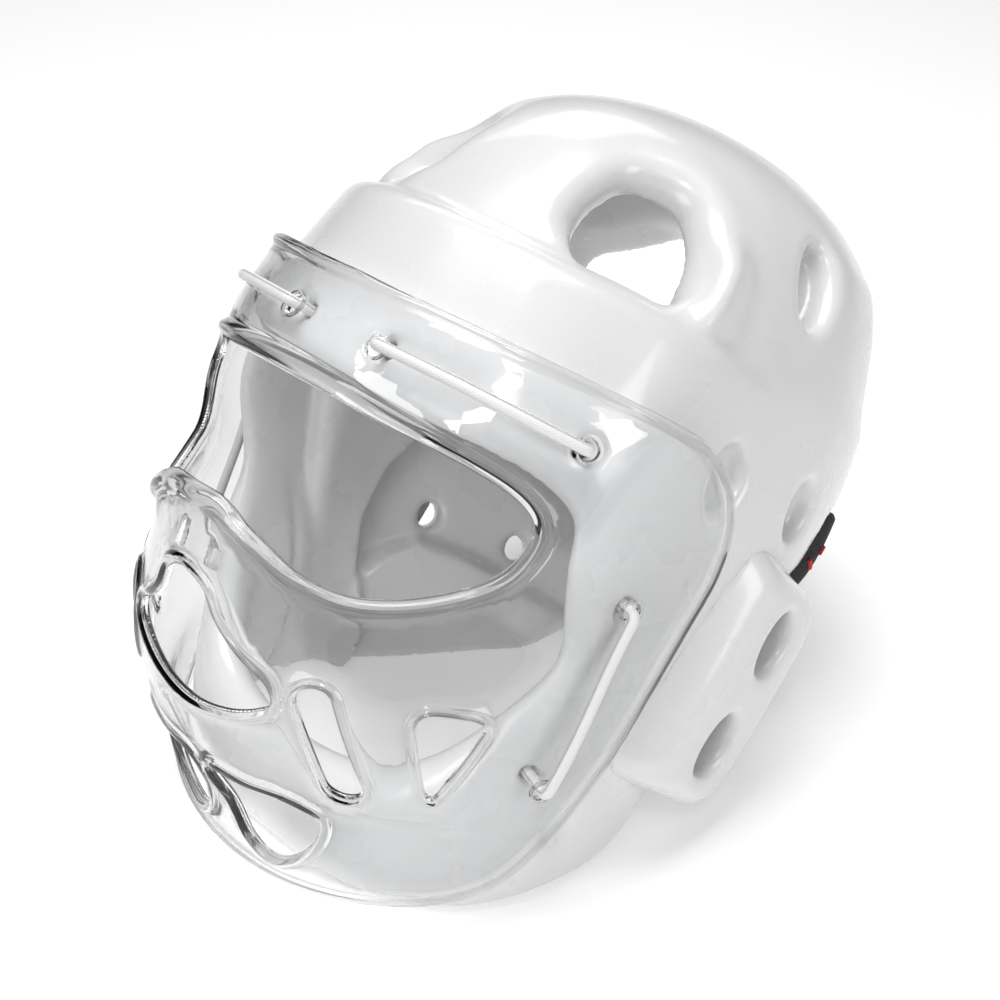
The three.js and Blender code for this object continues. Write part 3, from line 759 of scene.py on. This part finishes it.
def wall_at(turn, z):
    """Thickness of the foam: thicker pads inside the sides and the nape."""
    away = np.degrees(np.abs(turn))
    low = smooth(*PADDING_FROM, z)
    s, n = SIDE_PAD, NAPE_PAD
    end = np.interp(z, *SIDE_PAD_END.T)
    side = smooth(*s["front"], away) * (1 - smooth(end - s["before_end"], end + s["past_end"], away))
    side = side * low * (1 - smooth(*s["top"], z))
    top = np.interp(away, *NAPE_PAD_TOP.T)
    nape = smooth(*n["front"], away) * (1 - smooth(top - n["edge"], top, z)) * low
    return WALL + s["thick"] * side + n["thick"] * nape


def outer_form(brow, d, turn):
    """The outer form: the plain surface with the brow band standing proud of it, its top edge rounded."""
    z = brow[:, 2]
    rise = BAND["height"] * band_fade(turn, z)
    top = z - (BAND["top"] - BAND["roll"] / 2)
    band = blend_max(d - rise, top, BAND_ROUND["edge"])
    form = blend_min(d, band, np.minimum(BAND_ROUND["corner"], BAND_ROUND["part"] * rise))
    return form - rear_rise(brow)


def frame_at(turn, z):
    """Point and axes on the foam in the brow frame: along, up and out."""
    turn, z = np.array(turn), np.array(float(z))
    out = foam_normal(turn, z)
    along = unit(foam_point(turn + 0.01, z) - foam_point(turn - 0.01, z))
    return foam_point(turn, z), np.stack([along, np.cross(out, along), out])


def steps_from(turn, z, brow):
    """Steps along, up and out from a point on the foam to brow-frame points."""
    at, axes = frame_at(turn, z)
    return axes @ (brow - at).T


def crown_hole(brow):
    """Steps along, up and out from the crown hole's foot, and distance from its arch."""
    u, v, n = steps_from(CROWN_HOLE["turn"], CROWN_HOLE["z"], brow)
    return u, v, n, outline_distance(u, v, filleted(CROWN_ARCH, CROWN_HOLE["corner"]))


def segment_distance(p, a, b):
    t = np.clip((p - a) @ (b - a) / ((b - a) @ (b - a)), 0, 1)
    return np.linalg.norm(p - a - t[:, None] * (b - a), axis=1)


def foam_cuts(row, head, brow, d, turn, outer):
    """What is cut from the foam: a field, below zero where it cuts, and the roundness outside and inside."""
    x, y, z = brow.T
    opening = outline_distance(x, head[:, 2], curve_through(mirrored(FACE_OPENING), 5))
    yield np.maximum(opening, head[:, 1] - FACE_CUT_TO), *ROUND["face"]
    r = REAR_CUT
    window = outline_distance(x, z, filleted(mirrored(REAR_WINDOW), r["corner"]))
    split = np.maximum(np.abs(x) - r["split"], z - r["split_top"])
    yield np.maximum(blend_min(window, split, r["blend"]), r["start"] - y), *ROUND["rear"]
    c = CROWN_ROUND
    _, v, n, arch = crown_hole(brow)
    yield np.maximum(arch, np.abs(n) - CUT_DEPTH), c["foot"] + c["more"] * smooth(*c["over"], v), c["inside"]
    for vent_turn, vent_z, width, height, lean, deep in VENTS:
        u, v, n = steps_from(rad(vent_turn), vent_z, brow)
        a, s = math.cos(rad(lean)), math.sin(rad(lean))
        oval = oval_distance(a * u + s * v, a * v - s * u, width / 2, height / 2)
        yield blend_max(np.maximum(oval, np.abs(n) - CUT_DEPTH), -(outer + deep), VENT_FLOOR), *ROUND["vent"]
    for hole in BROW_HOLES + CHEEK_HOLES:
        end = hole[3] if hole is BROW_HOLES[1] else tucked(hole)
        yield segment_distance(head, hole[2], end) - LACE_HOLE, *ROUND["lace"]
    s, room = STRAP, STRAP_ROOM["around"]
    depth, from_end = strap_depth(turn)
    over = np.abs(d - depth) - s["thickness"] / 2 - room
    across = np.abs(z - s["level"]) - s["width"] / 2 - room
    past_end = -(from_end + STRAP_ROOM["end"]) * s["radius"]
    yield np.maximum(np.maximum(over, across), past_end), *ROUND["strap"]
    yield row[:, 2], *ROUND["rim"]


def crown_roll(brow):
    """Raised roll around the crown hole's arch."""
    r = CROWN_ROLL
    u, v, n, away = crown_hole(brow)
    height = (r["height"] + r["more"] * smooth(*r["along"], u)) * (1 - r["less"] * smooth(*r["up"], v))
    across = np.exp(-((away - r["away"]) / r["half"]) ** 2)
    return height * across * smooth(*r["foot"], v) * (np.abs(n) < CUT_DEPTH)


def foam_field(row):
    head = row_to_head(row)
    brow = head_to_brow(head)
    d = plain_distance(brow)
    turn = foam_turn(brow)
    z = brow[:, 2]
    outer = outer_form(brow, d, turn) - crown_roll(brow)
    g = CHEEK_GROOVE
    seam = (np.degrees(np.abs(turn)) - np.interp(z, *CHEEK_SEAM.T)) * rad(g["radius"])
    groove = g["deep"] * np.exp(-(seam / g["half"]) ** 2) * (z < g["high"]) * (z > g["low"])
    inner = groove - (d + wall_at(turn, z))
    for cut, round_out, round_in in foam_cuts(row, head, brow, d, turn, outer):
        outer = blend_max(outer, -cut, round_out)
        inner = blend_max(inner, -cut, round_in)
    return np.maximum(outer, inner)


def make_foam():
    """The foam's left half from a field, worked out only near its wall, and mirrored."""
    step = FOAM_STEP
    low, high = (np.array(v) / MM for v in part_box("foam_shell"))
    low, high = low - 3 * step, high + 3 * step
    low[0] = -2 * step
    shape = np.ceil((high - low) / step).astype(int) + 1
    coarse = 4
    at = np.stack(np.meshgrid(*(np.arange(0, n + coarse, coarse) for n in shape), indexing="ij"), -1)
    near = plain_distance(head_to_brow(row_to_head(at.reshape(-1, 3) * step + low)))
    near = near.reshape(at.shape[:3])
    for axis in range(3):
        near = np.repeat(near, coarse, axis)
    shift = coarse // 2
    near = near[tuple(slice(shift, shift + n) for n in shape)]
    deepest = WALL + SIDE_PAD["thick"] + FIELD_ROOM["inside"]
    active = (near > -deepest) & (near < BAND["height"] + FIELD_ROOM["outside"])
    field = np.full(shape, FIELD_LIMIT)
    field[active] = foam_field(np.argwhere(active) * step + low)
    other = field[:1:-1][:-1]
    whole = np.concatenate([other, field[2:]])
    origin = np.array([-len(other) * step, low[1], low[2]])
    verts, quads = field_mesh(np.clip(whole, -FIELD_LIMIT, FIELD_LIMIT), origin, step)
    piece = make_object("foam_shell_soft", verts, quads, FOAM_LOOK)
    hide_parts("foam_shell")


def pad_field(row):
    head = row_to_head(row)
    brow = head_to_brow(head)
    outer = outer_form(brow, plain_distance(brow), foam_turn(brow))
    p, slant = PAD, PAD_SLANT
    c, s = math.cos(p["slope"]), math.sin(p["slope"])
    y, z = head[:, 1] - p["y"], head[:, 2] - p["z"]
    along, across = c * y + s * z, c * z - s * y
    flare = np.exp(-np.maximum(outer, 0) / PAD_FLARE["reach"])
    sides = box_distance(along, across - p["shift"], p["length"] / 2, p["width"] / 2, p["corner"])
    sides = sides - PAD_FLARE["sides"] * flare
    front = (across - slant["across"]) * math.cos(slant["lean"])
    front = front + (head[:, 0] - slant["x"]) * math.sin(slant["lean"])
    front = front - PAD_FLARE["front"] * flare
    dome = PAD_DOME["height"] * ((along / PAD_DOME["along"]) ** 2 + (across / PAD_DOME["across"]) ** 2)
    block = blend_max(sides, head[:, 0] - p["face"] + dome, PAD_ROUND["face"])
    block = blend_max(block, front, PAD_ROUND["front"])
    for at, length, width in PAD_HOLES:
        hole = oval_distance(along - at, across, length / 2, width / 2)
        block = blend_max(block, -hole, PAD_ROUND["holes"])
    return np.maximum(block, -PAD_SEAT - outer)


def make_pads():
    step = PAD_STEP
    low, high = (np.array(v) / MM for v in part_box("ear_pad_left"))
    low, high = low - PAD_MARGIN, high + PAD_MARGIN
    shape = np.ceil((high - low) / step).astype(int) + 1
    points = np.argwhere(np.ones(shape, bool)) * step + low
    field = pad_field(points).reshape(shape)
    verts, quads = field_mesh(np.clip(field, -FIELD_LIMIT, FIELD_LIMIT), low, step)
    for name, side in (("ear_pad_left", 1), ("ear_pad_right", -1)):
        faces = quads if side > 0 else quads[:, ::-1]
        piece = make_object(name + "_soft", verts * (side, 1, 1), faces, FOAM_LOOK)
        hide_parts(name)


# Shield: rim profiles as distance from the edge, height outside and lift of the inside
EYE_RIM = [(0, 0.0, 0.9), (0.7, 1.2, 0.25), (1.6, 2.0, 0), (2.6, 2.3, 0), (3.6, 2.1, 0), (4.5, 1.3, 0),
           (5.3, 0.4, 0), (6.1, 0, 0)]
EDGE_RIM = [(0, -1.3, 1.1), (0.5, 0.2, 0.3), (1.3, 1.2, 0), (2.3, 1.5, 0), (3.3, 1.1, 0), (4.2, 0.3, 0),
            (4.9, 0, 0)]
SLOT_RIM = [(0, 0.0, 0.7), (0.6, 0.9, 0.2), (1.4, 1.5, 0), (2.3, 1.4, 0), (3.1, 0.5, 0), (3.8, 0, 0)]
HOLE_RIM = [(0, 0.0, 0.3), (0.5, 0.5, 0.1), (1.2, 0.6, 0), (2.0, 0, 0)]
MOUTH_RIM = EYE_RIM[:1] + EDGE_RIM[1:]
HOLE_RADIUS = 3.5
# The flat plan in which the shield is meshed: millimetres for a radian of turn, spacings, and room past a rim
PLAN = 110.0
RIM_SPACING = 1.5
HOLE_SPACING = 0.9
GRID_SPACING = 3.0
GRID_ROW = 0.866
RIM_ROOM = dict(part=1.12, more=1.4)
MERGE = 1e-5


def turn_for(z, target, part, most):
    """Turn at which the shield's x or y reaches the target at height z."""
    lo, hi = np.zeros_like(z), np.full_like(z, most)
    for _ in range(26):
        mid = (lo + hi) / 2
        short = shield_point(mid, z)[..., part] < target
        lo, hi = np.where(short, mid, lo), np.where(short, hi, mid)
    return (lo + hi) / 2


def front_loop(outline):
    """An outline across the face as turns and heights on the shield."""
    outline = np.asarray(outline, float)
    turn = turn_for(outline[:, 1], np.abs(outline[:, 0]), 0, rad(76))
    return np.stack([np.sign(outline[:, 0]) * turn, outline[:, 1]], -1)


def edge_loop():
    edge = curve_through(SHIELD_EDGE, 40, closed=False)
    front = shield_point(np.zeros(len(edge)), edge[:, 1])[:, 1]
    edge = edge[edge[:, 0] > front + 0.05]
    turn = turn_for(edge[:, 1], edge[:, 0], 1, rad(118))
    half = np.stack([turn, edge[:, 1]], -1)
    half[0, 0] = half[-1, 0] = 0
    return np.concatenate([half, (half * (-1, 1))[-2:0:-1]])


def both_sides(outline):
    outline = np.asarray(outline, float)
    return [outline, outline * (-1, 1)]


def shield_loops():
    """Every edge of the shield as turns and heights, with its rim, and whether it is a hole."""
    yield edge_loop(), EDGE_RIM, False
    yield front_loop(curve_through(mirrored(EYE_OPENING), 8)), EYE_RIM, True
    yield front_loop(curve_through(mirrored(MOUTH_OPENING), 8)), MOUTH_RIM, True
    for shape in (slot_outline(*CHEEK_SLOT, CHEEK_SLOT_RADIUS), filleted(CHEEK_TRIANGLE, 6)):
        for outline in both_sides(shape):
            yield front_loop(outline), SLOT_RIM, True
    for outline in both_sides(curve_through(CHIN_OPENING, 8)):
        yield front_loop(outline), EDGE_RIM, True
    for turn, z, _, _ in BROW_HOLES + CHEEK_HOLES:
        radius = float(np.hypot(*(shield_point(turn, z)[:2] - (0, SHIELD_AXIS))))
        for side in (1, -1):
            yield circle(HOLE_RADIUS) / (radius, 1) + (side * turn, z), HOLE_RIM, True


def shield_rings():
    """Rings of points along every edge: places in the plan, heights, edges, and the loops they follow."""
    plan, rows, edges, loops = [], [], [], []
    for loop, rim, hole in shield_loops():
        spacing = HOLE_SPACING if rim is HOLE_RIM else RIM_SPACING
        loop = resampled(loop * (PLAN, 1), spacing) / (PLAN, 1)
        area = (loop[:, 0] * np.roll(loop[:, 1], -1) - np.roll(loop[:, 0], -1) * loop[:, 1]).sum()
        if (area < 0) == hole:
            loop = loop[::-1]
        radius = shield_radius(loop[:, 0], loop[:, 1])
        scale = np.stack([radius, np.ones_like(radius)], -1)
        step = unit((np.roll(loop, -1, 0) - np.roll(loop, 1, 0)) * scale)
        into = np.stack([step[:, 1], -step[:, 0]], -1) / scale
        first = len(plan)
        count = len(loop)
        for away, lift, under in rim:
            start = len(plan)
            plan.extend((loop + into * away) * (PLAN, 1))
            rows.extend([(lift, under)] * count)
            edges.extend((start + k, start + (k + 1) % count) for k in range(count))
        loops.append((loop * (PLAN, 1), first, count, hole, rim[-1][0]))
    return plan, rows, edges, loops


def shield_grid(loops):
    """Even points in the plan between the rims."""
    low, high = loops[0][0].min(0), loops[0][0].max(0)
    xs = np.arange(low[0], high[0], GRID_SPACING)
    zs = np.arange(low[1], high[1], GRID_SPACING * GRID_ROW)
    grid = np.array([(x + (k % 2) * GRID_SPACING / 2, z) for k, z in enumerate(zs) for x in xs])
    keep = np.ones(len(grid), bool)
    for loop, _, _, hole, width in loops:
        away = outline_distance(grid[:, 0], grid[:, 1], loop)
        keep &= (away if hole else -away) > width * RIM_ROOM["part"] + RIM_ROOM["more"]
    return grid[keep]


def make_shield():
    plan, rows, edges, loops = shield_rings()
    grid = shield_grid(loops)
    plan.extend(grid)
    rows.extend([(0, 0)] * len(grid))
    found, _, faces, origins, _, _ = delaunay_2d_cdt([Vector(p) for p in plan], edges, [], 0, MERGE, True)
    at = np.array([tuple(v) for v in found])
    faces = np.array([tuple(f) for f in faces])
    middle = at[faces].mean(1)
    solid = np.ones(len(faces), bool)
    for loop, _, _, hole, _ in loops:
        away = outline_distance(middle[:, 0], middle[:, 1], loop)
        solid &= (away > 0) if hole else (away < 0)
    faces = faces[solid]
    lift, under = np.zeros(len(at)), np.zeros(len(at))
    place = {}
    for k, ids in enumerate(origins):
        for source in ids:
            place[source] = k
            lift[k], under[k] = rows[source]
    turn, z = at[:, 0] / PLAN, at[:, 1]
    base = shield_point(turn, z)
    normal = shield_normal(turn, z)
    count = len(at)
    verts = np.concatenate([base + normal * (SHIELD_WALL + lift)[:, None], base + normal * under[:, None]])
    a, b, c = at[faces].transpose(1, 0, 2)
    area = (b[:, 0] - a[:, 0]) * (c[:, 1] - a[:, 1]) - (b[:, 1] - a[:, 1]) * (c[:, 0] - a[:, 0])
    faces[area < 0] = faces[area < 0][:, ::-1]
    every = [tuple(f) for f in faces] + [tuple(f[::-1] + count) for f in faces]
    for _, first, size, _, _ in loops:
        ring = [place[first + k] for k in range(size)]
        every += [(ring[k], ring[k - 1], ring[k - 1] + count, ring[k] + count) for k in range(size)]
    used = np.unique(np.concatenate([np.array(f) for f in every]))
    remap = np.full(2 * count, -1)
    remap[used] = np.arange(len(used))
    every = [remap[list(f)] for f in every]
    piece = make_object("face_shield_clear", head_to_row(verts[used]), every, SHIELD_LOOK)
    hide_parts("face_shield")


# Cords and strap
def bent(points, radius, per_bend=6):
    """Straight runs with rounded corners."""
    out = [points[0]]
    for before, corner, after in zip(points, points[1:], points[2:]):
        start = corner + unit(before - corner) * min(radius, np.linalg.norm(before - corner) / 2.1)
        end = corner + unit(after - corner) * min(radius, np.linalg.norm(after - corner) / 2.1)
        for t in np.linspace(0, 1, per_bend + 1):
            out.append(start * (1 - t) ** 2 + 2 * corner * t * (1 - t) + end * t * t)
    out.append(points[-1])
    return np.array(out)


def mark_weave(piece, along, across):
    """Mesh attributes that the woven materials follow."""
    for label, values in (("along", along), ("across", across)):
        attribute = piece.data.attributes.new(label, "FLOAT", "POINT")
        attribute.data.foreach_set("value", values)


def tube(name, path, radius, material, sides=16, spacing=0.8):
    path = resampled(path, spacing, closed=False)
    tangent = unit(np.gradient(path, axis=0))
    side = np.cross(tangent[0], (0, 0, 1.0))
    if np.linalg.norm(side) < 0.1:
        side = np.cross(tangent[0], (1.0, 0, 0))
    side = unit(side)
    angles = np.arange(sides) * 2 * math.pi / sides
    verts, along, across = [], [], []
    for k, (p, t) in enumerate(zip(path, tangent)):
        side = unit(side - t * (side @ t))
        up = np.cross(t, side)
        verts.extend(p + radius * (np.cos(a) * side + np.sin(a) * up) for a in angles)
        along.extend([k * spacing] * sides)
        across.extend(angles / (2 * math.pi))
    faces = []
    for k in range(len(path) - 1):
        this, after = k * sides, (k + 1) * sides
        for j in range(sides):
            beside = (j + 1) % sides
            faces.append((this + j, this + beside, after + beside, after + j))
    faces.append(tuple(range(sides))[::-1])
    faces.append(tuple(range((len(path) - 1) * sides, len(path) * sides)))
    piece = make_object(name, head_to_row(np.array(verts)), faces, material)
    mark_weave(piece, along, across)
    return piece


def make_lace(node, path):
    lace = tube(node + "_cord", bent(path, LACE_BEND), CORD_WIDTH / 2, CORD_LOOK)
    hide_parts(node)


def make_laces():
    outer, inner = BROW_LACE_TURNS
    first, last = on_foam(np.array([-outer, outer]), 0.0, LACE_COVER - WALL)
    under = [brow_hole(np.array(t))[3] for t in (-inner, inner)]
    right, left = ([brow_hole(np.array(t))[2] for t in np.linspace(a, b, LACE_POINTS)]
                   for a, b in ((-outer, -inner), (inner, outer)))
    make_lace("brow_lace", [first, *right, *under, *left, last])
    (turn_a, z_a, _, _), (turn_b, z_b, _, _) = CHEEK_HOLES
    path = [tucked(CHEEK_HOLES[0])]
    for t in np.linspace(0, 1, LACE_POINTS):
        path.append(on_shield(turn_a + (turn_b - turn_a) * t, z_a + (z_b - z_a) * t, OUTSIDE))
    path.append(tucked(CHEEK_HOLES[1]))
    for name, side in (("cheek_lace_left", 1), ("cheek_lace_right", -1)):
        make_lace(name, np.array(path) * (side, 1, 1))


def make_strap():
    """A flat band with rounded edges, as rows of points along it: outside, then inside."""
    s = STRAP
    half, thick = s["width"] / 2, s["thickness"] / 2
    turns = np.linspace(s["start"], 2 * math.pi - s["start"], 161)
    across = np.linspace(-1, 1, 25)
    depth, _ = strap_depth(turns)
    columns = len(turns)
    verts, along_marks, across_marks = [], [], []
    for side in (1, -1):
        for v in across:
            past = max(abs(v) * half - half + s["edge"], 0)
            edge = math.sqrt(max(1 - past ** 2 / s["edge"] ** 2, 0))
            verts.append(on_foam(turns, s["level"] + v * half, depth + side * thick * edge))
            along_marks.append(np.arange(columns) * STRAP_STEP)
            across_marks.append(np.full(columns, (v + 1) * half))
    rows = len(verts)
    order = list(range(len(across))) + list(range(rows - 1, len(across) - 1, -1))
    starts = [a * columns for a in order]
    faces = []
    for a, b in zip(starts, starts[1:] + starts[:1]):
        faces += [(a + j, a + j + 1, b + j + 1, b + j) for j in range(columns - 1)]
    faces.append(starts)
    faces.append([a + columns - 1 for a in starts][::-1])
    piece = make_object("rear_strap_woven", head_to_row(np.concatenate(verts)), faces, STRAP_LOOK)
    mark_weave(piece, np.concatenate(along_marks), np.concatenate(across_marks))
    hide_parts("rear_strap")


def make_bar_tacks():
    b = BAR_TACK
    for k, (turn, z, length, lean) in enumerate(BAR_TACKS):
        at, axes = frame_at(turn, z)
        reach = np.linspace(-length / 2, length / 2, 9)
        steps = np.stack([reach * math.cos(lean), reach * math.sin(lean)], -1)
        places = at + steps @ axes[:2]
        turns = foam_turn(places)
        depth, _ = strap_depth(turns)
        path = on_foam(turns, places[:, 2], depth + STRAP["thickness"] / 2 + b["lift"])
        for side, label in ((1, "left"), (-1, "right")):
            name = f"bar_tack_{label}_{k}"
            tube(name, path * (side, 1, 1), b["width"] / 2, THREAD_LOOK, b["sides"], b["spacing"])


make_foam()
make_pads()
make_shield()
make_laces()
make_strap()
make_bar_tacks()


# Stage: a pale floor, half this size in metres, soft lights and a pale surround
FLOOR = 40


def make_stage():
    mesh = bpy.data.meshes.new("floor")
    corners = [(-FLOOR, -FLOOR, 0), (FLOOR, -FLOOR, 0), (FLOOR, FLOOR, 0), (-FLOOR, FLOOR, 0)]
    mesh.from_pydata(corners, [], [(0, 1, 2, 3)])
    floor = bpy.data.objects.new("floor", mesh)
    bpy.context.scene.collection.objects.link(floor)
    material, _, shader = new_material("floor")
    shader.inputs["Base Color"].default_value = (0.82, 0.82, 0.82, 1)
    shader.inputs["Roughness"].default_value = 0.9
    shader.inputs["Emission Color"].default_value = (1, 1, 1, 1)
    shader.inputs["Emission Strength"].default_value = 0.28
    mesh.materials.append(material)
    # Name, place, aim, width, height, power in watts
    middle = (0, 0, 0.12)
    lights = [
        ("key", (0.66, -0.64, 1.05), middle, 0.16, 0.26, 2.0),
        ("top", (-0.1, 0.0, 1.6), middle, 1.0, 1.0, 24.0),
        ("side", (1.4, 0.0, 0.6), middle, 0.4, 0.7, 4.4),
        ("front", (0.25, -1.3, 0.4), middle, 0.6, 0.6, 5.0),
        ("far", (-1.5, 1.6, 1.5), (-1.5, 1.6, 0), 1.5, 1.5, 14.0),
    ]
    for name, place, aim, width, height, power in lights:
        data = bpy.data.lights.new(name, "AREA")
        data.shape = "RECTANGLE"
        data.size, data.size_y = width, height
        data.energy = power
        light = bpy.data.objects.new(name, data)
        light.location = place
        light.rotation_mode = "QUATERNION"
        light.rotation_quaternion = (Vector(aim) - Vector(place)).to_track_quat("-Z", "Y")
        bpy.context.scene.collection.objects.link(light)
    world = bpy.data.worlds.new("surround")
    world.use_nodes = True
    background = world.node_tree.nodes["Background"]
    background.inputs["Color"].default_value = (1, 1, 1, 1)
    background.inputs["Strength"].default_value = 0.05
    bpy.context.scene.world = world
    bpy.context.scene.view_settings.view_transform = "Standard"


make_stage()
